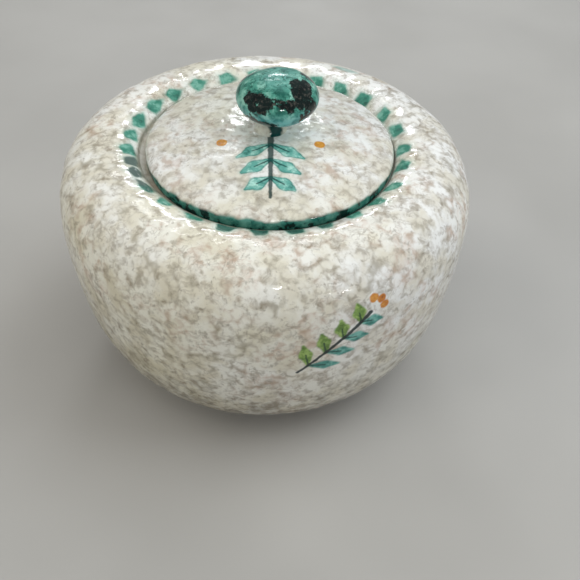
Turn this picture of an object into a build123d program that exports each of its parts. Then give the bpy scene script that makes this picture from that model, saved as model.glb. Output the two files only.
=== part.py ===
from build123d import *
import os

# Covered earthenware bowl: a thrown round bowl with an in-set lid and a ball knob.
# Millimetres, +Z up. The origin is the centre of the foot, on the surface the bowl
# stands on, and +Z is the axis that every piece was turned about.

# ---------------------------------------------------------------- bowl, outside
belly_radius = 62.5          # widest point of the wall
belly_height = 58.2
haunch_radius = 56.5         # where the rounded base turns up into the wall
haunch_height = 20.6
foot_radius = 33.6           # outside of the turned foot ring
foot_width = 4.2             # the ring, radially
foot_recess = 2.2            # hollow under the floor, inside the ring
foot_height = 1.6            # from the table to where the wall springs
crest_radius = 45.0          # highest circle of the rolled rim
crest_height = 76.6

# ------------------------------------------------------------------- lid seat
rim_inner_radius = 39.0      # foot of the slope that runs in from the crest
rim_inner_height = 74.0
seat_radius = 38.4           # wall of the recess that the lid drops into
seat_height = 72.4           # ledge that carries the lid
mouth_radius = 33.0          # clear way into the bowl
mouth_depth = 4.9            # straight throat under the ledge

# --------------------------------------------------------------- bowl, inside
floor_height = 7.0           # inside floor over the table
floor_flat_radius = 22.0
inner_radius = 56.7          # widest point of the inside
inner_height = 57.0
roof_radius = 46.5           # highest circle of the inside, under the crest
roof_height = 69.4

# ------------------------------------------------------------------------ lid
lid_radius = 36.8            # 1.6 clear of the seat wall all round
lid_edge_height = 74.9       # top and foot of the short upright edge
lid_edge_foot = 73.4
lid_shoulder_radius = 33.6
lid_shoulder_height = 77.5
lid_crown = 81.6             # top of the shallow dome
lid_bearing_outer = 36.1     # unglazed ring that sits on the ledge
lid_bearing_inner = 30.6
lid_thickness = 4.3          # at the crown

# ----------------------------------------------------------------------- knob
stem_radius = 5.4            # where it is luted to the lid
stem_waist_radius = 4.4
knob_radius = 11.9
knob_half_height = 7.0       # from its widest circle to the top
knob_centre = 92.3

os.makedirs("parts", exist_ok=True)

# The bowl: one clay body of revolution. Its half section runs from the foot ring, up
# the rounded belly, over the shoulder and the rolled crest, down the inward slope to
# the lid seat, through the mouth and round the inside.
seat_fillet = 0.6
mouth_round = 0.8
throat_round = 1.2
throat_height = seat_height - mouth_depth
foot_inner = foot_radius - foot_width
with BuildPart() as bowl:
    with BuildSketch(Plane.XZ):
        with BuildLine():
            # the hollow under the floor and the foot ring
            Line((0, foot_recess), (foot_inner - 1.6, foot_recess))
            Bezier(
                (foot_inner - 1.6, foot_recess),
                (foot_inner - 0.4, foot_recess),
                (foot_inner - 0.3, 0.5),
                (foot_inner + 0.5, 0),
            )
            Line((foot_inner + 0.5, 0), (foot_radius - 0.5, 0))
            Bezier(
                (foot_radius - 0.5, 0),
                (foot_radius + 0.1, 0.1),
                (foot_radius + 0.1, foot_height - 0.25),
                (foot_radius + 0.9, foot_height),
            )
            # rounded base, belly wall and shoulder
            Bezier(
                (foot_radius + 0.9, foot_height),
                (46.6, 3.9),
                (haunch_radius - 3.3, haunch_height - 7.6),
                (haunch_radius, haunch_height),
            )
            Bezier(
                (haunch_radius, haunch_height),
                (haunch_radius + 3.05, haunch_height + 7.02),
                (belly_radius, belly_height - 12.2),
                (belly_radius, belly_height),
            )
            Bezier(
                (belly_radius, belly_height),
                (belly_radius, belly_height + 12.1),
                (crest_radius + 11.2, crest_height),
                (crest_radius, crest_height),
            )
            # the slope from the crest into the lid recess
            Bezier(
                (crest_radius, crest_height),
                (crest_radius - 2.4, crest_height),
                (rim_inner_radius + 1.4, rim_inner_height + 1.3),
                (rim_inner_radius, rim_inner_height),
            )
            Bezier(
                (rim_inner_radius, rim_inner_height),
                (rim_inner_radius - 0.4, rim_inner_height - 0.37),
                (seat_radius, seat_height + 1.2),
                (seat_radius, seat_height + seat_fillet),
            )
            # the ledge, the mouth and its straight throat
            RadiusArc(
                (seat_radius, seat_height + seat_fillet),
                (seat_radius - seat_fillet, seat_height),
                seat_fillet,
            )
            Line(
                (seat_radius - seat_fillet, seat_height),
                (mouth_radius + mouth_round, seat_height),
            )
            RadiusArc(
                (mouth_radius + mouth_round, seat_height),
                (mouth_radius, seat_height - mouth_round),
                -mouth_round,
            )
            Line(
                (mouth_radius, seat_height - mouth_round),
                (mouth_radius, throat_height + throat_round),
            )
            RadiusArc(
                (mouth_radius, throat_height + throat_round),
                (mouth_radius + throat_round, throat_height),
                -throat_round,
            )
            # the underside of the rim, the inside wall and the floor
            Bezier(
                (mouth_radius + throat_round, throat_height),
                (mouth_radius + 6.0, throat_height),
                (roof_radius - 5.0, roof_height),
                (roof_radius, roof_height),
            )
            Bezier(
                (roof_radius, roof_height),
                (roof_radius + 6.3, roof_height),
                (inner_radius, inner_height + 7.4),
                (inner_radius, inner_height),
            )
            Bezier(
                (inner_radius, inner_height),
                (inner_radius, inner_height - 14.5),
                (54.7, 32.0),
                (51.0, 23.5),
            )
            Bezier(
                (51.0, 23.5),
                (47.2, 14.77),
                (36.5, floor_height),
                (floor_flat_radius, floor_height),
            )
            Line((floor_flat_radius, floor_height), (0, floor_height))
            Line((0, floor_height), (0, foot_recess))
        make_face()
    revolve(axis=Axis.Z, revolution_arc=360)
bowl.part.label = "bowl"
export_step(bowl.part, "parts/bowl.step")

# The lid: a lightly domed disc with a rounded shoulder over a short upright edge,
# hollowed underneath. A small flat at the crown takes the knob's stem, and a flat ring
# underneath sits on the ledge.
crown_flat = stem_radius + 0.4
with BuildPart() as lid:
    with BuildSketch(Plane.XZ):
        with BuildLine():
            Line((0, lid_crown), (crown_flat, lid_crown))
            Bezier(
                (crown_flat, lid_crown),
                (crown_flat + 9.2, lid_crown),
                (lid_shoulder_radius - 8.1, lid_shoulder_height + 2.5),
                (lid_shoulder_radius, lid_shoulder_height),
            )
            Bezier(
                (lid_shoulder_radius, lid_shoulder_height),
                (lid_shoulder_radius + 1.7, lid_shoulder_height - 0.525),
                (lid_radius, lid_edge_height + 1.5),
                (lid_radius, lid_edge_height),
            )
            Line((lid_radius, lid_edge_height), (lid_radius, lid_edge_foot))
            Bezier(
                (lid_radius, lid_edge_foot),
                (lid_radius, lid_edge_foot - 0.6),
                (lid_bearing_outer + 0.45, seat_height),
                (lid_bearing_outer, seat_height),
            )
            Line((lid_bearing_outer, seat_height), (lid_bearing_inner, seat_height))
            Bezier(
                (lid_bearing_inner, seat_height),
                (lid_bearing_inner - 2.1, seat_height + 3.2),
                (16.0, lid_crown - lid_thickness),
                (0, lid_crown - lid_thickness),
            )
            Line((0, lid_crown - lid_thickness), (0, lid_crown))
        make_face()
    revolve(axis=Axis.Z, revolution_arc=360)
lid.part.label = "lid"
export_step(lid.part, "parts/lid.step")

# The knob: a flattened ball on a short waisted stem, luted to the crown of the lid.
stem_waist_height = lid_crown + 2.2
knob_under_radius = 8.0      # where the underside of the ball leaves the stem's flare
knob_under_height = knob_centre - 4.8
with BuildPart() as lid_knob:
    with BuildSketch(Plane.XZ):
        with BuildLine():
            Line((0, lid_crown), (stem_radius, lid_crown))
            Bezier(
                (stem_radius, lid_crown),
                (stem_radius - 0.7, lid_crown + 0.5),
                (stem_waist_radius, stem_waist_height - 0.7),
                (stem_waist_radius, stem_waist_height),
            )
            Bezier(
                (stem_waist_radius, stem_waist_height),
                (stem_waist_radius, stem_waist_height + 1.7),
                (knob_under_radius - 2.0, knob_under_height - 0.8),
                (knob_under_radius, knob_under_height),
            )
            Bezier(
                (knob_under_radius, knob_under_height),
                (knob_under_radius + 2.4, knob_under_height + 0.96),
                (knob_radius, knob_centre - 2.4),
                (knob_radius, knob_centre),
            )
            Bezier(
                (knob_radius, knob_centre),
                (knob_radius, knob_centre + 4.3),
                (7.1, knob_centre + knob_half_height),
                (0, knob_centre + knob_half_height),
            )
            Line((0, knob_centre + knob_half_height), (0, lid_crown))
        make_face()
    revolve(axis=Axis.Z, revolution_arc=360)
lid_knob.part.label = "lid_knob"
export_step(lid_knob.part, "parts/lid_knob.step")
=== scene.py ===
import math

import bpy
import numpy as np
from mathutils import Matrix, Vector


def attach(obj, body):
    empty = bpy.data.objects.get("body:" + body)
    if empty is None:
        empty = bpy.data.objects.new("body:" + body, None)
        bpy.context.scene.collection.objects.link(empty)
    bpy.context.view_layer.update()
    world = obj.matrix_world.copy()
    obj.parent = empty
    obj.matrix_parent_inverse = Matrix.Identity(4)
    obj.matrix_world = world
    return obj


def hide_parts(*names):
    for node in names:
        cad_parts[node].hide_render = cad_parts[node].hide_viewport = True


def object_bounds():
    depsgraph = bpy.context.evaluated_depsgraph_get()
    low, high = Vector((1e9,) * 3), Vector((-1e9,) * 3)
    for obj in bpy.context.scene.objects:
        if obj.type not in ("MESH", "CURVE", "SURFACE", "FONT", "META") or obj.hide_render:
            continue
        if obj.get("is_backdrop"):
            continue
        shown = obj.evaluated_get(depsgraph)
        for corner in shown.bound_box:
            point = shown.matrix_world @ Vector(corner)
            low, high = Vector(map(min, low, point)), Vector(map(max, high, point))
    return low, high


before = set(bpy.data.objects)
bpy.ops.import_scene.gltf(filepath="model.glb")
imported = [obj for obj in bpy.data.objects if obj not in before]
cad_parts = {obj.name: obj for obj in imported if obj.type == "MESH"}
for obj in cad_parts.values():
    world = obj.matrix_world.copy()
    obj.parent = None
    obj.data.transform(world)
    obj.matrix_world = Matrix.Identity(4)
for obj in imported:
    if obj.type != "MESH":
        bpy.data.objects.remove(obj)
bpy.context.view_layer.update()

MM = 0.001
SEAT = 72.4  # height of the ledge that carries the lid, mm
CROWN = 81.6  # top of the lid
LID_SHIFT = (1.1, -0.4)  # the lid has slid a little in its loose seat, mm
DRAWN = (1.2, 0.2)  # where the middle of the painting on it lies

# Brush dashes round the rim: the angle of each, how far it leans, both in degrees, and how dark it is.
DASHES = [
    (109.5, 10, 0.2), (123.6, 26, 0.2), (137.3, 24, 0.1), (150.0, 18, 0.3), (163.3, 26, 0.3), (174.4, 18, 0.3),
    (185.2, 22, 0.1), (193.2, 10, 0.8), (201.7, 28, 0.8), (213.0, 32, 0.9), (225.4, 30, 0.3), (240.6, 20, 0.4),
    (254.7, 10, 0.7), (267.5, 3, 0.9), (281.3, 3, 1.0), (293.6, -22, 0.6), (306.8, -26, 0.5), (319.4, -14, 0.3),
    (331.6, -26, 0.4), (346.6, -14, 0.3), (358.7, -10, 0.2), (13.1, 0, 0.2), (26.2, 0, 0.3), (41.1, 5, 0.2),
    (54.4, 6, 0.3), (67.0, 14, 0.1), (82.0, 10, 0.2), (95.1, 18, 0.4),
]  # fmt: skip


# ------------------------------------------------------------------ mesh making
def bezier(p0, p1, p2, p3, n):
    t = np.linspace(0, 1, n + 1)[:, None]
    p0, p1, p2, p3 = map(np.array, (p0, p1, p2, p3))
    return (
        (1 - t) ** 3 * p0
        + 3 * (1 - t) ** 2 * t * p1
        + 3 * (1 - t) * t * t * p2
        + t**3 * p3
    )


def line(p0, p1, n):
    t = np.linspace(0, 1, n + 1)[:, None]
    return (1 - t) * np.array(p0) + t * np.array(p1)


def arc(c, r, a0, a1, n):
    a = np.radians(np.linspace(a0, a1, n + 1))
    return np.stack([c[0] + r * np.cos(a), c[1] + r * np.sin(a)], 1)


def profile(parts):
    """Joins runs of (points, relief, bare, inside) into one line of rows, with smoothed row values."""
    pts, vals = [parts[0][0][0]], [parts[0][1:]]
    for p, *v in parts:
        for q in p[1:]:
            pts.append(q)
            vals.append(v)
    pts, vals = np.array(pts, float), np.array(vals, float)
    for _ in range(2):
        vals[1:-1] = 0.25 * vals[:-2] + 0.5 * vals[1:-1] + 0.25 * vals[2:]
    t = np.gradient(pts, axis=0)
    t /= np.linalg.norm(t, axis=1)[:, None] + 1e-12
    normal = np.stack([t[:, 1], -t[:, 0]], 1)
    along = np.concatenate([[0], np.cumsum(np.linalg.norm(np.diff(pts, axis=0), axis=1))])
    return pts, normal, vals, along


def gnoise(p, seed):
    """Smooth gradient noise of points in 3-D, about -1 to 1."""
    rng = np.random.default_rng(seed)
    perm = rng.permutation(256)
    g = rng.normal(size=(256, 3))
    g /= np.linalg.norm(g, axis=1)[:, None]
    i = np.floor(p).astype(int)
    f = p - i
    u = f * f * f * (f * (f * 6 - 15) + 10)
    out = np.zeros(p.shape[:-1])
    for dx in (0, 1):
        for dy in (0, 1):
            for dz in (0, 1):
                h = perm[(i[..., 0] + dx) & 255]
                h = perm[(h + i[..., 1] + dy) & 255]
                h = perm[(h + i[..., 2] + dz) & 255]
                d = (g[h] * (f - np.array([dx, dy, dz]))).sum(-1)
                w = (
                    (u[..., 0] if dx else 1 - u[..., 0])
                    * (u[..., 1] if dy else 1 - u[..., 1])
                    * (u[..., 2] if dz else 1 - u[..., 2])
                )
                out += w * d
    return out * 1.5


def smooth(a, b, x):
    t = np.clip((x - a) / (b - a), 0, 1)
    return t * t * (3 - 2 * t)


def lathe(name, prof, segments, relief, move=None):
    """Turns a half section round +Z, presses relief(points, angle, row values, normals) along the normals, and returns the object."""
    pts, normal, vals, along = prof
    rows = len(pts)
    a = np.arange(segments) * 2 * math.pi / segments
    ca, sa = np.cos(a), np.sin(a)
    r, z = pts[:, 0][:, None], pts[:, 1][:, None]
    P = np.stack([r * ca, r * sa, z + 0 * ca], -1)
    n = np.stack([normal[:, 0][:, None] * ca, normal[:, 0][:, None] * sa, normal[:, 1][:, None] + 0 * ca], -1)
    ang = np.broadcast_to(a, (rows, segments))
    d = relief(P, ang, pts, vals, along)
    P = P + n * d[..., None]
    if move is not None:
        P = move(P)
    ring = P[1:-1].reshape(-1, 3)
    first, last = P[0].mean(0), P[-1].mean(0)
    verts = np.concatenate([ring, [first, last]]) * MM
    k = rows - 2
    j = np.arange(segments)
    jn = (j + 1) % segments
    quads = []
    for i in range(k - 1):
        quads.append(np.stack([i * segments + j, i * segments + jn, (i + 1) * segments + jn, (i + 1) * segments + j], 1))
    quads = np.concatenate(quads)
    cap0 = np.stack([np.full(segments, k * segments), jn, j], 1)
    cap1 = np.stack([np.full(segments, k * segments + 1), (k - 1) * segments + j, (k - 1) * segments + jn], 1)
    faces = quads.tolist() + cap0.tolist() + cap1.tolist()
    me = bpy.data.meshes.new(name)
    me.from_pydata(verts.tolist(), [], faces)
    me.polygons.foreach_set("use_smooth", np.ones(len(me.polygons), bool))
    for key, column in (("bare", 1), ("inside", 2)):
        v = np.concatenate([np.repeat(vals[1:-1, column], segments), vals[[0, -1], column]])
        me.attributes.new(key, "FLOAT", "POINT").data.foreach_set("value", v.astype(np.float32))
    me.update()
    ob = bpy.data.objects.new(name, me)
    bpy.context.scene.collection.objects.link(ob)
    return ob


# ------------------------------------------------------------------------- bowl
# rows of (points, relief, bare clay, inside)
bowl_profile = profile(
    [
        (line((0, 2.2), (27.8, 2.2), 10), 0.5, 1, 0),
        (bezier((27.8, 2.2), (29.0, 2.2), (29.1, 0.5), (29.9, 0), 5), 0.1, 1, 0),
        (line((29.9, 0), (33.1, 0), 4), 0.0, 1, 0),
        (bezier((33.1, 0), (33.7, 0.1), (33.7, 1.35), (34.5, 1.6), 5), 0.0, 0.8, 0),
        (bezier((34.5, 1.6), (46.6, 3.9), (53.2, 13.0), (56.5, 20.6), 30), 1, 0, 0),
        (bezier((56.5, 20.6), (59.55, 27.62), (62.5, 46.0), (62.5, 58.2), 40), 1, 0, 0),
        (bezier((62.5, 58.2), (62.5, 70.3), (56.2, 76.6), (45, 76.6), 30), 1, 0, 0),
        (bezier((45, 76.6), (42.6, 76.6), (40.4, 75.3), (39.0, 74.0), 9), 1, 0, 0),
        (bezier((39.0, 74.0), (38.6, 73.63), (38.4, 73.6), (38.4, 73.0), 3), 0.35, 0, 0),
        (arc((37.8, 73.0), 0.6, 0, -90, 3), 0.1, 0, 0),
        (line((37.8, 72.4), (33.8, 72.4), 4), 0.0, 0.35, 0),
        (arc((33.8, 71.6), 0.8, 90, 180, 3), 0.05, 0.2, 0.3),
        (line((33.0, 71.6), (33.0, 68.7), 3), 0.2, 0, 0.7),
        (arc((34.2, 68.7), 1.2, 180, 270, 3), 0.3, 0, 1),
        (bezier((34.2, 67.5), (39.0, 67.5), (41.5, 69.4), (46.5, 69.4), 8), 0.6, 0, 1),
        (bezier((46.5, 69.4), (52.8, 69.4), (56.7, 64.4), (56.7, 57.0), 12), 1, 0, 1),
        (bezier((56.7, 57.0), (56.7, 42.5), (54.7, 32.0), (51.0, 23.5), 16), 1, 0, 1),
        (bezier((51.0, 23.5), (47.2, 14.77), (36.5, 7.0), (22, 7.0), 16), 1, 0, 1),
        (line((22, 7.0), (0, 7.0), 8), 0.8, 0, 1),
    ]
)


def bowl_relief(P, ang, pts, vals, along):
    w, inside = vals[:, 0][:, None], vals[:, 2][:, None]
    r, z = pts[:, 0][:, None], pts[:, 1][:, None]
    # hand-pressed wall: broad lobes and overlapping finger dimples under the glaze
    out = 0.30 * gnoise(P / 27.0, 11) + 0.17 * gnoise(P / 7.5 + 3.1, 12) + 0.075 * gnoise(P / 3.6, 13)
    # rolled rim: a shallow press at every dash, and ripples between them
    rim = smooth(38.6, 40.2, r) * (1 - smooth(45.5, 50.0, r)) * smooth(70.5, 73.6, z)
    press = np.zeros(ang.shape)
    for deg, lean, _ in DASHES:
        da = (ang - math.radians(deg + 0.1 * lean) + math.pi) % (2 * math.pi) - math.pi
        press += np.exp(-((da * np.maximum(r, 30) / 2.5) ** 2))
    ripple = gnoise(np.stack([np.cos(ang) * 14, np.sin(ang) * 14, 0 * ang + r / 9.0], -1), 14)
    out = out + rim * (-0.30 * np.minimum(press, 1.0) + 0.20 * ripple)
    out = out + 0.16 * gnoise(P / 15.0, 17) * smooth(60.0, 74.0, z)
    out = out * (1 - inside)
    rings = 0.13 * np.sin(along[:, None] * 2 * math.pi / 4.1 + 1.3 * gnoise(P / 21.0, 15))
    into = rings * (0.6 + 0.4 * gnoise(P / 18.0, 16)) + 0.12 * gnoise(P / 19.0, 18)
    edge = smooth(0.0, 3.0, r) * (0.25 + 0.75 * smooth(0.0, 14.0, r))
    low = smooth(1.2, 9.0, z) * (1 - inside) + inside + 0.12 * (1 - inside) * (z > 1.9) * (r < 28)
    return w * edge * (out * low + into * inside)


def bowl_move(P):
    # thrown a little out of round: the rim comes in close to the lid at the front left
    P = P.copy()
    r = np.hypot(P[..., 0], P[..., 1])
    off = (np.degrees(np.arctan2(P[..., 1], P[..., 0])) - 236 + 180) % 360 - 180
    push = 1.5 * np.exp(-0.5 * (off / 31.0) ** 2)
    push *= smooth(34.0, 37.6, r) * (1 - smooth(39.6, 44.5, r)) * (P[..., 2] > 72.0)
    f = 1 - push / np.maximum(r, 1e-6)
    P[..., 0] *= f
    P[..., 1] *= f
    return P


bowl = lathe("bowl_body_glazed", bowl_profile, 432, bowl_relief, bowl_move)

# -------------------------------------------------------------------------- lid
lid_profile = profile(
    [
        (bezier((0, 77.3), (16.0, 77.3), (28.5, 75.6), (30.6, 72.4), 26), 1, 0, 0),
        (line((30.6, 72.4), (36.1, 72.4), 5), 0.0, 1, 0),
        (bezier((36.1, 72.4), (36.55, 72.4), (36.8, 72.8), (36.8, 73.4), 4), 0.2, 0.3, 0),
        (line((36.8, 73.4), (36.8, 74.9), 3), 0.6, 0, 0),
        (bezier((36.8, 74.9), (36.8, 76.4), (35.3, 76.975), (33.6, 77.5), 9), 1, 0, 0),
        (bezier((33.6, 77.5), (25.5, 80.0), (15.0, 81.6), (5.8, 81.6), 44), 1, 0, 0),
        (line((5.8, 81.6), (0, 81.6), 5), 0.0, 0, 0),
    ]
)


def lid_relief(P, ang, pts, vals, along):
    r, z = pts[:, 0][:, None], pts[:, 1][:, None]
    w = vals[:, 0][:, None]
    top = smooth(73.6, 76.0, z) * (z > 72.5) * (np.arange(len(pts))[:, None] > 38)
    out = top * (0.16 * gnoise(P / 16.0, 21) + 0.10 * gnoise(P / 6.0, 22) + 0.055 * gnoise(P / 2.6, 23))
    edge = np.exp(-(((r - 36.4) / 1.6) ** 2)) * (z > 73)
    lump = gnoise(np.stack([np.cos(ang) * 8, np.sin(ang) * 8, 0 * ang + z / 6.0], -1), 24)
    out = out + edge * 0.16 * lump
    under = (np.arange(len(pts))[:, None] < 26) * 0.09 * np.sin(along[:, None] * 2 * math.pi / 3.6)
    return w * (out + under * smooth(0.0, 6.0, r)) * smooth(5.8, 9.0, r)


def lid_move(P):
    P = P.copy()
    P[..., 0] += LID_SHIFT[0]
    P[..., 1] += LID_SHIFT[1]
    P[..., 2] += 0.02
    return P


lid = lathe("lid_glazed", lid_profile, 400, lid_relief, lid_move)

# ------------------------------------------------------------------------- knob
knob_profile = profile(
    [
        (line((0, 81.45), (5.2, 81.45), 4), 0, 0, 0),
        (bezier((5.2, 81.45), (4.4, 81.8), (3.7, 82.7), (3.7, 83.8), 8), 0.3, 0, 0),
        (bezier((3.7, 83.8), (3.7, 85.5), (5.6, 86.14), (8.0, 87.1), 12), 0.8, 0, 0),
        (bezier((8.0, 87.1), (9.7, 87.78), (11.95, 89.8), (11.95, 92.1), 16), 1, 0, 0),
        (bezier((11.95, 92.1), (11.95, 95.8), (6.6, 98.8), (0, 98.8), 30), 1, 0, 0),
    ]
)


def knob_relief(P, ang, pts, vals, along):
    w = vals[:, 0][:, None]
    return w * (0.30 * gnoise(P / 11.0, 31) + 0.10 * gnoise(P / 4.0, 32) - 0.03)


def knob_move(P):
    # the ball was pressed on by hand, so that it leans a little
    P = P.copy()
    t = smooth(CROWN, 90.0, P[..., 2])
    P[..., 0] += LID_SHIFT[0] + 1.85 * t
    P[..., 1] += LID_SHIFT[1]
    P[..., 2] += 0.02
    return P


knob = lathe("lid_knob_glazed", knob_profile, 168, knob_relief, knob_move)


# -------------------------------------------------------------------- materials
def srgb(r, g, b):
    f = lambda x: x / 12.92 if x <= 0.04045 else ((x + 0.055) / 1.055) ** 2.4
    return (f(r / 255), f(g / 255), f(b / 255), 1.0)


class Paint:
    """Short names for the shader nodes of one material."""

    def __init__(self, name):
        self.mat = bpy.data.materials.new(name)
        self.mat.use_nodes = True
        self.nt = self.mat.node_tree
        self.nt.nodes.clear()

    def put(self, value, socket):
        if isinstance(value, bpy.types.NodeSocket):
            self.nt.links.new(value, socket)
        elif value is not None:
            socket.default_value = value

    def m(self, op, a, b=None, c=None, clamp=False):
        n = self.nt.nodes.new("ShaderNodeMath")
        n.operation, n.use_clamp = op, clamp
        for v, s in zip((a, b, c), n.inputs):
            self.put(v, s)
        return n.outputs[0]

    def v(self, op, a, b=None, scale=None):
        n = self.nt.nodes.new("ShaderNodeVectorMath")
        n.operation = op
        self.put(a, n.inputs[0])
        self.put(b, n.inputs[1])
        if scale is not None:
            self.put(scale, n.inputs["Scale"])
        return n.outputs["Value"] if op in ("LENGTH", "DOT_PRODUCT", "DISTANCE") else n.outputs["Vector"]

    def xyz(self, a):
        n = self.nt.nodes.new("ShaderNodeSeparateXYZ")
        self.put(a, n.inputs[0])
        return n.outputs[0], n.outputs[1], n.outputs[2]

    def join(self, x, y, z=0.0):
        n = self.nt.nodes.new("ShaderNodeCombineXYZ")
        for v, s in zip((x, y, z), n.inputs):
            self.put(v, s)
        return n.outputs[0]

    def noise(self, at, scale, detail=2.0, rough=0.5, dist=0.0, color=False):
        n = self.nt.nodes.new("ShaderNodeTexNoise")
        self.put(at, n.inputs["Vector"])
        n.inputs["Scale"].default_value = scale
        n.inputs["Detail"].default_value = detail
        n.inputs["Roughness"].default_value = rough
        n.inputs["Distortion"].default_value = dist
        return n.outputs["Color"] if color else n.outputs[0]

    def ramp(self, x, lo, hi, a=0.0, b=1.0):
        n = self.nt.nodes.new("ShaderNodeMapRange")
        n.interpolation_type = "SMOOTHSTEP"
        for v, key in ((x, "Value"), (lo, "From Min"), (hi, "From Max"), (a, "To Min"), (b, "To Max")):
            self.put(v, n.inputs[key])
        return n.outputs[0]

    def mix(self, f, a, b, how="MIX"):
        n = self.nt.nodes.new("ShaderNodeMix")
        n.data_type, n.blend_type = "RGBA", how
        self.put(f, n.inputs[0])
        self.put(a, n.inputs[6])
        self.put(b, n.inputs[7])
        return n.outputs[2]

    def place(self, at, where, turn, size):
        n = self.nt.nodes.new("ShaderNodeMapping")
        n.vector_type = "TEXTURE"
        self.put(at, n.inputs[0])
        n.inputs[1].default_value = where
        n.inputs[2].default_value = turn
        n.inputs[3].default_value = size
        return n.outputs[0]

    def wobble(self, at, scale, amount, detail=1.0):
        """Coordinates shaken by noise, which makes a drawn edge a brushed one."""
        n = self.noise(at, scale, detail, 0.5, 0.0, True)
        n = self.v("SUBTRACT", n, (0.5, 0.5, 0.5))
        n = self.v("SCALE", n, scale=amount)
        return self.v("ADD", at, n)

    def petal(self, p, a, b, half, bulge=0.0):
        """Signed distance in mm to a petal from a to b. bulge above 0 makes it fuller at b."""
        cx, cy = (a[0] + b[0]) / 2, (a[1] + b[1]) / 2
        ln = math.hypot(b[0] - a[0], b[1] - a[1]) / 2
        turn = math.atan2(b[1] - a[1], b[0] - a[0])
        q = self.place(p, (cx, cy, 0), (0, 0, turn), (ln, half, 1e3))
        if bulge:
            x, y, _ = self.xyz(q)
            y = self.m("MULTIPLY", y, self.m("MULTIPLY_ADD", x, -bulge, 1.0))
            q = self.join(x, y, 0.0)
        q = self.v("LENGTH", q)
        q = self.m("SUBTRACT", q, 1.0)
        return self.m("MULTIPLY", q, min(ln, half))

    def stroke(self, p, a, b, ra, rb):
        """Signed distance in mm to a brush stroke whose half width runs from ra to rb."""
        d = (b[0] - a[0], b[1] - a[1], 0.0)
        l2 = d[0] ** 2 + d[1] ** 2
        pa = self.v("SUBTRACT", p, (a[0], a[1], 0.0))
        h = self.v("DOT_PRODUCT", pa, (d[0] / l2, d[1] / l2, 0.0))
        h = self.m("MAXIMUM", self.m("MINIMUM", h, 1.0), 0.0)
        q = self.v("SUBTRACT", pa, self.v("SCALE", d, scale=h))
        q = self.v("LENGTH", q)
        if ra == rb:
            return self.m("SUBTRACT", q, ra)
        return self.m("SUBTRACT", q, self.m("MULTIPLY_ADD", h, rb - ra, ra))

    def run(self, p, pts, half, start=None):
        """One long stroke through several points. half is its half width at each of them, or at its two ends."""
        n = len(pts) - 1
        if len(half) != len(pts):
            half = [half[0] + (half[-1] - half[0]) * i / n for i in range(n + 1)]
        for i in range(n):
            d = self.stroke(p, pts[i], pts[i + 1], half[i], half[i + 1])
            start = d if start is None else self.m("MINIMUM", start, d)
        return start

    def both(self, a, b, soft=0.0):
        if a is None:
            return b
        return self.m("SMOOTH_MIN", a, b, soft) if soft else self.m("MINIMUM", a, b)

    def attribute(self, name):
        n = self.nt.nodes.new("ShaderNodeAttribute")
        n.attribute_name = name
        return n.outputs["Fac"]

    def mm(self):
        n = self.nt.nodes.new("ShaderNodeTexCoord")
        return self.v("SCALE", n.outputs["Object"], scale=1000.0)

    def finish(self, color, rough, height, depth):
        b = self.nt.nodes.new("ShaderNodeBump")
        b.inputs["Strength"].default_value = 1.0
        b.inputs["Distance"].default_value = depth
        self.put(height, b.inputs["Height"])
        s = self.nt.nodes.new("ShaderNodeBsdfPrincipled")
        s.inputs["IOR"].default_value = 1.5
        s.inputs["Specular IOR Level"].default_value = 0.42
        self.put(color, s.inputs["Base Color"])
        self.put(rough, s.inputs["Roughness"])
        self.nt.links.new(b.outputs[0], s.inputs["Normal"])
        o = self.nt.nodes.new("ShaderNodeOutputMaterial")
        self.nt.links.new(s.outputs[0], o.inputs[0])
        return self.mat


def tin_glaze(k, P, strength=1.0):
    """The cloudy tin-white glaze: pale dapples with soft grey-brown between them, rusty patches and a few curled hair marks."""
    Q = k.wobble(P, 0.34, 2.2, 2.0)
    cloud = k.noise(Q, 0.11, 3.0, 0.55)
    base = k.mix(k.ramp(cloud, 0.36, 0.60), srgb(230, 225, 211), srgb(250, 250, 247))
    wide = k.noise(P, 0.027, 1.0, 0.5)
    base = k.mix(k.ramp(wide, 0.44, 0.66, 0.0, 0.34), base, srgb(238, 233, 208))
    patch = k.noise(P, 0.055, 2.0, 0.5)
    # dapples about as wide as a fingertip's edge
    n = k.nt.nodes.new("ShaderNodeTexVoronoi")
    n.feature = "F1"
    k.put(Q, n.inputs["Vector"])
    n.inputs["Scale"].default_value = 0.40
    cell = n.outputs["Distance"]
    smudge = k.noise(Q, 0.20, 4.0, 0.62, 0.2)
    gap = k.m("MULTIPLY", k.ramp(cell, 0.30, 0.85), k.ramp(smudge, 0.38, 0.62, 0.0, 0.72 * strength))
    tint = k.mix(k.ramp(patch, 0.44, 0.60), srgb(158, 150, 132), srgb(184, 160, 138))
    base = k.mix(gap, base, tint)
    rust = k.m("MULTIPLY", k.ramp(patch, 0.50, 0.68), k.ramp(smudge, 0.44, 0.66, 0.0, 0.30 * strength))
    base = k.mix(rust, base, srgb(196, 154, 128))
    grey = k.noise(k.v("ADD", Q, (31.0, 7.0, 13.0)), 0.33, 3.0, 0.58, 0.2)
    base = k.mix(k.ramp(grey, 0.49, 0.72, 0.0, 0.60 * strength), base, srgb(144, 132, 114))
    hair = k.noise(k.v("ADD", Q, (5.0, 51.0, 3.0)), 0.34, 3.0, 0.52, 0.8)
    thin = k.ramp(k.m("ABSOLUTE", k.m("SUBTRACT", hair, 0.5)), 0.0, 0.050, 1.0, 0.0)
    where = k.ramp(k.noise(P, 0.13, 1.0, 0.5), 0.48, 0.64)
    base = k.mix(k.m("MULTIPLY", k.m("MULTIPLY", thin, where), 0.30 * strength), base, srgb(122, 104, 84))
    fleck = k.noise(Q, 0.56, 3.0, 0.62)
    base = k.mix(k.ramp(fleck, 0.56, 0.74, 0.0, 0.50 * strength), base, srgb(130, 116, 98))
    return base, smudge


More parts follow.
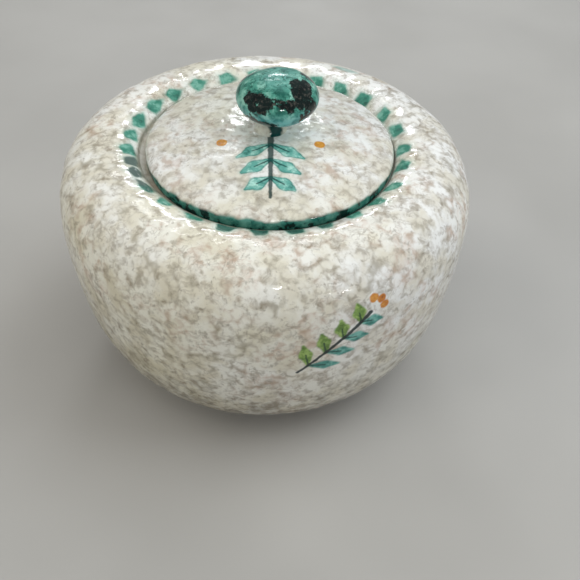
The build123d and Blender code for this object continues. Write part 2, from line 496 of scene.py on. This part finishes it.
def glaze_surface(k, P):
    """Gloss and fine relief of the fired glaze."""
    fine = k.noise(P, 0.75, 3.0, 0.55)
    pin = k.noise(P, 2.6, 1.0, 0.5)
    height = k.m("MULTIPLY_ADD", pin, 0.16, fine)
    rough = k.ramp(k.noise(P, 0.5, 2.0, 0.5), 0.3, 0.7, 0.06, 0.15)
    return rough, height


TEAL, TEAL_LIGHT, TEAL_DARK = srgb(88, 156, 144), srgb(146, 204, 192), srgb(34, 92, 84)
INK, ORANGE, ORANGE_DARK = srgb(4, 9, 10), srgb(206, 132, 40), srgb(150, 82, 26)
OLIVE, OLIVE_LIGHT, OLIVE_DARK = srgb(98, 122, 58), srgb(142, 166, 100), srgb(58, 78, 34)
BROWN = srgb(134, 92, 44)


def wash(k, P, light, mid, dark, scale=0.55):
    """Thin colour over the glaze, paler and deeper where the brush left less and more."""
    n = k.noise(P, scale, 4.0, 0.62, 0.3)
    c = k.mix(k.ramp(n, 0.34, 0.56), light, mid)
    return k.mix(k.ramp(n, 0.55, 0.74, 0.0, 0.8), c, dark)


# ---- bowl
k = Paint("bowl_tin_glaze_painted")
P = k.mm()
base, smudge = tin_glaze(k, P, 1.0)
x, y, z = k.xyz(P)
# painted warm light: a cream tint over the left side of the wall, as if warm light fell there, fading out on the crest
cream = k.ramp(k.v("DOT_PRODUCT", P, (-0.93, -0.37, 0.0)), 5.0, 58.0, 0.0, 0.46)
cream = k.m("MULTIPLY", cream, k.ramp(z, 64.0, 75.0, 1.0, 0.30))  # whiter on the crest
base = k.mix(cream, base, k.mix(1.0, base, srgb(248, 243, 216), "MULTIPLY"))
# painted shade: the wall darkens towards the foot
low = k.ramp(z, 6.0, 48.0, 0.85, 0.0)
base = k.mix(low, base, k.mix(1.0, base, srgb(218, 214, 204), "MULTIPLY"))
# painted shade of the dimples: the glaze's smudges are darkened low on the wall
shade = k.m("MULTIPLY", k.ramp(z, 8.0, 48.0, 0.62, 0.0), k.ramp(smudge, 0.46, 0.60))
base = k.mix(shade, base, srgb(122, 115, 102))
# painted shade at the lower left of the wall, darker towards the bottom
under = k.m("MULTIPLY", k.ramp(z, 4.0, 42.0, 0.95, 0.0), k.ramp(k.v("DOT_PRODUCT", P, (-0.86, -0.50, 0.0)), 20.0, 56.0))
base = k.mix(under, base, k.mix(1.0, base, srgb(216, 215, 208), "MULTIPLY"))
# spray of leaves on the shoulder: u runs round the wall in mm, z is height
u = k.m("MULTIPLY", k.m("ARCTAN2", x, k.m("MULTIPLY", y, -1.0)), 60.0)
uv = k.join(u, z, 0.0)
W = k.wobble(uv, 0.32, 1.0, 3.0)
V = k.wobble(uv, 0.9, 0.55, 2.0)

# a plain sprig: a slanting stem, evenly spaced pairs of leaves and three berries
leaves, ribs = {-1: None, 1: None}, None
for i in range(4):
    t = 4.0 + 6.4 * i
    cx, cz, size = 9.0 + 0.7071 * t, 42.0 + 0.7071 * t, 8.8 - 0.8 * i
    for side in (-1, 1):
        a = math.radians(45 + 56 * side)
        pts = [(cx + f * size * math.cos(a), cz + f * size * math.sin(a)) for f in (0.0, 0.55, 1.0)]
        leaves[side] = k.both(leaves[side], k.run(W, pts, [0.5, 2.0, 0.5]))
        ribs = k.run(V, pts[:2], [0.22, 0.12], ribs)
c = wash(k, P, srgb(128, 198, 186), srgb(56, 144, 134), srgb(2, 56, 54), 0.50)
base = k.mix(k.ramp(leaves[-1], -0.5, 0.4, 0.97, 0.0), base, c)
c = wash(k, P, srgb(164, 196, 106), srgb(104, 142, 58), srgb(44, 74, 22), 0.50)
base = k.mix(k.ramp(leaves[1], -0.4, 0.4, 0.97, 0.0), base, c)
base = k.mix(k.ramp(ribs, -0.1, 0.3, 0.8, 0.0), base, srgb(10, 54, 46))
d = k.run(V, [(9.0, 42.0), (28.0, 61.0)], [0.35, 0.6])
base = k.mix(k.ramp(d, -0.15, 0.3, 0.95, 0.0), base, srgb(0, 34, 36))
d = None
for i in range(3):
    a = math.radians(45 * i)
    e = (29.0 + 3.2 * math.cos(a), 62.0 + 3.2 * math.sin(a))
    d = k.run(V, [e, (e[0] + 0.1, e[1])], [1.25, 1.25], d)
c = wash(k, P, srgb(226, 158, 66), srgb(204, 122, 30), srgb(150, 78, 22), 0.7)
base = k.mix(k.ramp(d, -0.18, 0.28, 0.97, 0.0), base, c)

# dashes round the rim, pressed with a flat brush
R = k.wobble(P, 0.42, 1.1, 2.0)
rx, ry, _ = k.xyz(R)
flat = k.join(rx, ry, 0.0)
rng = np.random.default_rng(71)
d, dd = None, None
for deg, lean, dark in DASHES:
    a = math.radians(deg)
    front = 220 < deg < 320
    mid, half = (39.9, 2.9) if front else (40.9, 2.1)
    if 190 < deg < 245:
        mid, half = mid - 0.9, min(half, 2.2)
    half *= rng.uniform(0.92, 1.08)
    wide = (2.5 if front else 2.55) * rng.uniform(0.88, 1.12)
    taper, skew = rng.uniform(0.10, 0.34), rng.uniform(-0.45, 0.10) if not front else rng.uniform(-0.2, 0.2)
    cx, cy = mid * math.cos(a), mid * math.sin(a)
    q = k.place(flat, (cx, cy, 0), (0, 0, a + math.radians(lean)), (half, wide, 1e3))
    qx, qy, _ = k.xyz(q)
    e = k.m("MULTIPLY", qy, k.m("MULTIPLY_ADD", qx, taper, 1.0))
    e = k.m("ABSOLUTE", k.m("MULTIPLY_ADD", qx, skew, e))
    e = k.m("SMOOTH_MAX", k.m("ABSOLUTE", qx), e, 0.75)
    e = k.m("MULTIPLY", k.m("SUBTRACT", e, 1.0), min(half, wide))
    d = k.both(d, e)
    if dark > 0.5:
        dd = k.both(dd, e)
high = k.ramp(z, 71.0, 72.6)
bleed = k.m("MULTIPLY", k.ramp(d, -0.2, 2.0, 0.26, 0.0), high)
base = k.mix(bleed, base, srgb(182, 216, 204))
dash = k.m("MULTIPLY", k.ramp(d, -0.60, 0.40, 0.95, 0.0), high)
c = wash(k, P, srgb(122, 186, 168), srgb(52, 136, 116), srgb(14, 80, 68), 0.34)
c = k.mix(k.ramp(dd, -0.8, 0.1, 0.66, 0.0), c, srgb(16, 62, 58))
# painted reflection: the dashes on the left are greyed, as if a sheen of light lay over them
left_dash_painted_reflection = k.v("LENGTH", k.place(P, (-37.6, -13.9, 75.0), (0, 0, 1.9), (9.5, 5.0, 9.0)))
c = k.mix(k.ramp(left_dash_painted_reflection, 0.75, 1.0, 0.72, 0.0), c, srgb(92, 104, 100))
base = k.mix(dash, base, c)
# a pale wash on the far shoulder
far = k.v("LENGTH", k.place(R, (26.0, 44.0, 75.0), (0, 0, -0.55), (6.0, 2.2, 6.0)))
base = k.mix(k.ramp(far, 0.45, 1.1, 0.55, 0.0), base, srgb(120, 178, 168))
# the seat: painted shade, a darker grey-beige in the recess under the lid's edge, and a duller gloss there
rad = k.v("LENGTH", k.join(x, y, 0.0))
seat = k.m("MULTIPLY", k.ramp(k.m("MULTIPLY_ADD", k.noise(P, 0.4, 2.0), 1.6, rad), 38.7, 40.0, 1.0, 0.0), k.ramp(z, 71.2, 72.2))
base = k.mix(k.m("MULTIPLY", seat, 0.62), base, srgb(150, 142, 124))

# inside: the same glaze, a little greyer, with pooled glaze on the floor
inside = k.attribute("inside")
pool = k.ramp(z, 6.0, 24.0, 0.35, 0.0)
inner = k.mix(pool, base, srgb(208, 206, 186))
base = k.mix(k.ramp(inside, 0.4, 0.9), base, inner)
# bare clay at the foot, with a ragged glaze line
bare = k.attribute("bare")
rag = k.noise(P, 0.35, 3.0, 0.55)
bare = k.ramp(k.m("MULTIPLY_ADD", rag, 0.8, bare), 0.86, 1.0)
clay = k.mix(k.ramp(k.noise(P, 0.6, 4.0, 0.65), 0.35, 0.68), srgb(196, 146, 108), srgb(168, 116, 84))
clay = k.mix(k.ramp(k.noise(P, 2.2, 1.0), 0.62, 0.74, 0.0, 0.5), clay, srgb(120, 80, 60))
rough, height = glaze_surface(k, P)
grain = k.noise(P, 1.7, 3.0, 0.7)
height = k.m("ADD", k.m("MULTIPLY", height, k.m("SUBTRACT", 1.0, bare)), k.m("MULTIPLY", grain, k.m("MULTIPLY", bare, 2.0)))
rough = k.m("MULTIPLY_ADD", bare, 0.68, rough)
rough = k.m("MULTIPLY_ADD", seat, 0.30, rough)
bowl.data.materials.append(k.finish(k.mix(bare, base, clay), rough, height, 0.000035))

# ---- lid
k = Paint("lid_tin_glaze_painted")
P0 = k.mm()
P = k.v("SUBTRACT", P0, (LID_SHIFT[0], LID_SHIFT[1], 0.0))
base, smudge = tin_glaze(k, k.v("ADD", P, (140.0, 60.0, 20.0)), 0.85)
x, y, z = k.xyz(P)
flat = k.join(x, y, 0.0)
rad = k.v("LENGTH", flat)
# painted shade: the lid top is a little darker towards the back
base = k.mix(k.ramp(y, -22.0, 26.0, 0.12, 0.85), base, k.mix(1.0, base, srgb(234, 236, 235), "MULTIPLY"))
flat = k.v("ADD", flat, (LID_SHIFT[0] - DRAWN[0], LID_SHIFT[1] - DRAWN[1], 0.0))
V = k.wobble(flat, 0.7, 0.55, 2.0)
W = k.wobble(flat, 0.36, 1.0, 3.0)

# a plain sprig: a stem down the front, three even pairs of leaves and a pair of berries
d, ribs = None, None
for i in range(3):
    for side in (-1, 1):
        a, size = math.radians(-90 + 58 * side), 11.0 - 1.5 * i
        pts = [(f * size * math.cos(a), -9.0 - 7.0 * i + f * size * math.sin(a)) for f in (0.0, 0.55, 1.0)]
        d = k.both(d, k.run(W, pts, [0.6, 2.4, 0.5]))
        ribs = k.run(V, pts[:2], [0.25, 0.12], ribs)
c = wash(k, P, srgb(184, 232, 220), srgb(104, 178, 166), srgb(26, 102, 94), 0.36)
c = k.mix(k.ramp(k.m("ABSOLUTE", d), 0.0, 0.7, 0.6, 0.0), c, srgb(30, 106, 98))
base = k.mix(k.ramp(d, 0.0, 1.0, 0.22, 0.0), base, srgb(176, 214, 204))
base = k.mix(k.ramp(d, -0.22, 0.26, 0.97, 0.0), base, c)
ribs = k.run(V, [(0.0, -3.0), (0.0, -30.0)], [0.9, 0.4], ribs)
base = k.mix(k.ramp(ribs, -0.15, 0.32, 0.88, 0.0), base, srgb(12, 56, 54))
d = None
for side in (-1, 1):
    d = k.run(V, [(14.0 * side, -8.0), (14.1 * side, -8.0)], [1.5, 1.5], d)
c = wash(k, P, srgb(226, 166, 62), srgb(206, 138, 34), srgb(160, 94, 24), 0.5)
base = k.mix(k.ramp(d, -0.15, 0.26, 0.97, 0.0), base, c)

# green band painted on the rounded edge
wave = k.noise(k.v("MULTIPLY", P, (1.0, 1.0, 0.25)), 0.17, 2.0, 0.5)
hang = k.noise(k.v("MULTIPLY", P, (1.0, 1.0, 0.25)), 0.55, 1.0, 0.5)
level = k.m("ADD", k.m("MULTIPLY", wave, -2.2), k.m("MULTIPLY", hang, -0.25))
# it was painted fuller at the front than at the sides and back
level = k.m("ADD", level, k.ramp(y, -30.0, 6.0, -0.25, 1.35))
outer = k.ramp(rad, 30.0, 34.0)
over = k.m("ADD", z, level)
band = k.m("MULTIPLY", k.ramp(over, 74.0, 74.9, 1.0, 0.0), outer)
c = wash(k, P, srgb(92, 156, 142), srgb(44, 114, 102), srgb(14, 66, 58), 0.24)
dark = k.noise(P, 0.24, 3.0, 0.62)
c = k.mix(k.ramp(dark, 0.505, 0.58, 0.0, 0.92), c, srgb(5, 30, 28))
c = k.mix(k.ramp(z, 72.9, 73.8, 0.45, 0.0), c, srgb(8, 40, 36))
base = k.mix(band, base, c)

bare = k.attribute("bare")
rag = k.noise(P, 0.4, 3.0, 0.55)
bare = k.ramp(k.m("MULTIPLY_ADD", rag, 0.8, bare), 0.9, 1.05)
clay = k.mix(k.ramp(k.noise(P, 0.6, 4.0, 0.65), 0.35, 0.68), srgb(196, 146, 108), srgb(168, 116, 84))
rough, height = glaze_surface(k, P)
grain = k.noise(P, 1.7, 3.0, 0.7)
height = k.m("ADD", k.m("MULTIPLY", height, k.m("SUBTRACT", 1.0, bare)), k.m("MULTIPLY", grain, k.m("MULTIPLY", bare, 2.0)))
rough = k.m("MULTIPLY_ADD", bare, 0.68, rough)
lid.data.materials.append(k.finish(k.mix(bare, base, clay), rough, height, 0.000035))

# ---- knob
k = Paint("knob_teal_glaze")
P0 = k.mm()
P = k.v("SUBTRACT", P0, (LID_SHIFT[0] + 1.85, LID_SHIFT[1], 92.1))
W = k.wobble(P, 0.28, 3.2, 3.0)
n = k.noise(W, 0.26, 4.0, 0.6, 0.4)
c = k.mix(k.ramp(n, 0.36, 0.52), srgb(150, 208, 190), srgb(84, 158, 140))
c = k.mix(k.ramp(n, 0.50, 0.66, 0.0, 0.9), c, srgb(20, 88, 76))
x, y, z = k.xyz(P)
# bluer and paler low down, partly the glaze's own tint and partly painted light lifting the shaded underside; greyer on
# the crown
c = k.mix(k.ramp(z, -2.0, 2.4, 0.80, 0.0), c, k.mix(k.ramp(n, 0.40, 0.62), srgb(132, 208, 212), srgb(64, 148, 154)))
c = k.mix(k.ramp(z, 5.0, 6.6, 0.0, 0.45), c, srgb(122, 178, 172))
# brush swirls on top
swirl = k.noise(k.v("MULTIPLY", W, (1.0, 1.6, 1.0)), 0.30, 3.0, 0.55, 1.2)
swirl = k.ramp(k.m("ABSOLUTE", k.m("SUBTRACT", swirl, 0.5)), 0.0, 0.035, 0.80, 0.0)
c = k.mix(k.m("MULTIPLY", swirl, k.ramp(z, 2.0, 4.2)), c, srgb(16, 72, 60))
S = k.wobble(P, 0.50, 3.0, 3.0)
d = None
for where, size in (
    ((-7.6, -7.0, 3.4), 2.2), ((-5.2, -8.6, 3.7), 2.3), ((-7.0, -8.8, 2.2), 2.0), ((-3.2, -9.8, 3.3), 2.0), ((-5.0, -10.2, 2.2), 1.6),
    ((-0.6, -9.9, 3.6), 1.4), ((1.6, -9.9, 3.4), 1.3), ((3.6, -9.8, 3.0), 1.7),
    ((5.4, -2.6, 5.9), 2.2), ((7.8, -2.4, 5.0), 2.3), ((6.4, -5.8, 4.8), 2.6), ((6.2, -8.0, 3.4), 2.3), ((8.8, -5.0, 3.8), 1.6),
    ((8.6, -7.6, 1.6), 1.9), ((9.8, -6.4, 0.2), 1.9), ((8.4, -8.6, -0.4), 1.6), ((7.0, -9.8, -0.8), 1.2),
    ((-7.4, -8.6, -2.3), 1.4), ((-5.4, -10.0, -2.8), 1.6), ((-3.2, -10.8, -3.1), 1.6), ((-1.2, -11.2, -3.3), 1.3),
    ((-10.2, 4.0, 2.4), 1.8), ((-9.0, 6.6, 2.8), 2.1), ((-6.8, 8.8, 2.0), 1.7), ((-4.4, 10.2, 2.8), 1.4),
    ((1.6, 11.0, -0.6), 1.5), ((4.2, 10.6, -1.2), 1.7), ((6.8, 9.0, -0.6), 1.4), ((10.2, 4.2, 3.0), 2.0), ((8.6, 3.4, 4.8), 1.7),
):  # fmt: skip
    e = k.m("SUBTRACT", k.v("DISTANCE", S, where), size)
    d = e if d is None else k.m("SMOOTH_MIN", d, e, 0.8)
sponge = k.noise(P, 0.52, 3.0, 0.62)
blot = k.m("MULTIPLY", k.ramp(k.m("MULTIPLY_ADD", sponge, -4.4, d), -2.5, -1.7, 1.0, 0.0), k.ramp(sponge, 0.28, 0.38))
c = k.mix(k.m("MULTIPLY", blot, 0.97), c, k.mix(k.ramp(k.noise(P, 1.0, 3.0, 0.65), 0.50, 0.70), srgb(3, 10, 10), srgb(78, 72, 66)))
# the stem is pale glaze with a stroke of teal down its front
cream, _ = tin_glaze(k, P, 0.8)
stripe = k.m("MULTIPLY", k.ramp(k.m("ABSOLUTE", k.m("ADD", k.xyz(W)[0], 0.5)), 1.2, 2.2, 1.0, 0.0), k.ramp(y, -2.0, 0.0, 1.0, 0.0))
cream = k.mix(stripe, cream, srgb(14, 72, 68))
c = k.mix(k.ramp(k.xyz(W)[2], -8.2, -7.2), cream, c)
rough, height = glaze_surface(k, P)
knob.data.materials.append(k.finish(c, rough, height, 0.00004))

# --------------------------------------------------------------- pieces and bodies
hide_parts("bowl")
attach(bowl, "bowl_body")
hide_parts("lid")
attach(lid, "lid_body")
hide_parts("lid_knob")
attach(knob, "lid_body")

# ------------------------------------------------------------------------- stage
me = bpy.data.meshes.new("floor")
s = 14.0
me.from_pydata([(-s, -s, 0), (s, -s, 0), (s, s, 0), (-s, s, 0)], [], [(0, 1, 2, 3)])
floor = bpy.data.objects.new("floor", me)
bpy.context.scene.collection.objects.link(floor)
k = Paint("floor_pale")
P = k.mm()
c = k.mix(k.ramp(k.noise(P, 0.012, 2.0), 0.3, 0.7), srgb(176, 174, 170), srgb(184, 182, 178))
floor.data.materials.append(k.finish(c, k.ramp(k.noise(P, 0.05, 2.0), 0.3, 0.7, 0.55, 0.65), k.noise(P, 0.8, 2.0), 0.00002))
floor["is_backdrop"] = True

world = bpy.data.worlds.new("studio")
bpy.context.scene.world = world
world.use_nodes = True
world.node_tree.nodes["Background"].inputs[0].default_value = (0.86, 0.91, 0.96, 1)
world.node_tree.nodes["Background"].inputs[1].default_value = 0.29


def lamp(name, azimuth, elevation, distance, size, power, color, shape="RECTANGLE", size_y=None, mirrored=True):
    """A soft light. Azimuth 0 is behind the bowl (+Y), 90 is its right (+X), 180 is the camera's side."""
    data = bpy.data.lights.new(name, "AREA")
    data.shape, data.size, data.size_y = shape, size, size_y or size
    data.energy, data.color = power, color
    ob = bpy.data.objects.new(name, data)
    bpy.context.scene.collection.objects.link(ob)
    a, e = math.radians(azimuth), math.radians(elevation)
    way = Vector((math.sin(a) * math.cos(e), math.cos(a) * math.cos(e), math.sin(e)))
    ob.location = Vector((0, 0, 0.05)) + way * distance
    ob.rotation_mode = "QUATERNION"
    ob.rotation_quaternion = way.to_track_quat("Z", "Y")
    ob.visible_glossy = mirrored  # the broad soft lights do not fog the dark paint
    return ob


lamp("window", 0.5, 28.5, 1.3, 0.32, 1.9, (0.96, 0.98, 1.0), size_y=0.10)
lamp("window_high", -6, 43, 1.3, 0.36, 0.45, (0.96, 0.98, 1.0), size_y=0.04)
lamp("right_soft", 80, 50, 1.3, 1.1, 8.5, (0.92, 0.97, 1.0), mirrored=False)
lamp("left_warm", -100, 40, 1.3, 1.1, 3.7, (1.0, 0.92, 0.76), mirrored=False)
lamp("top_soft", 180, 78, 1.4, 1.1, 4.9, (1.0, 0.98, 0.95), mirrored=False)
lamp("front_spot", 173, 39, 1.4, 0.06, 1.9, (1.0, 0.98, 0.94), "DISK")
lamp("front_low", 141, 14, 1.6, 0.04, 0.5, (1.0, 0.99, 0.97), "DISK")

# ------------------------------------------------------------------------ camera
cam_data = bpy.data.cameras.new("camera")
cam_data.sensor_width = 36.0
cam_data.lens = 36.0 * 900 / 580
cam_data.clip_start, cam_data.clip_end = 0.02, 20.0
cam = bpy.data.objects.new("camera", cam_data)
bpy.context.scene.collection.objects.link(cam)
right = Vector((0.999529, -0.011819, 0.028316)).normalized()
ahead = Vector((0.028048, 0.72609, -0.687027))
ahead = (ahead - right * ahead.dot(right)).normalized()
up = right.cross(ahead)
cam.matrix_world = Matrix(
    (
        (right.x, up.x, -ahead.x, 0.0),
        (right.y, up.y, -ahead.y, -0.224544),
        (right.z, up.z, -ahead.z, 0.228345),
        (0, 0, 0, 1),
    )
)
bpy.context.scene.camera = cam
bpy.context.scene.view_settings.view_transform = "Standard"
bpy.context.scene.view_settings.look = "None"

bpy.context.view_layer.update()
low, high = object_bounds()
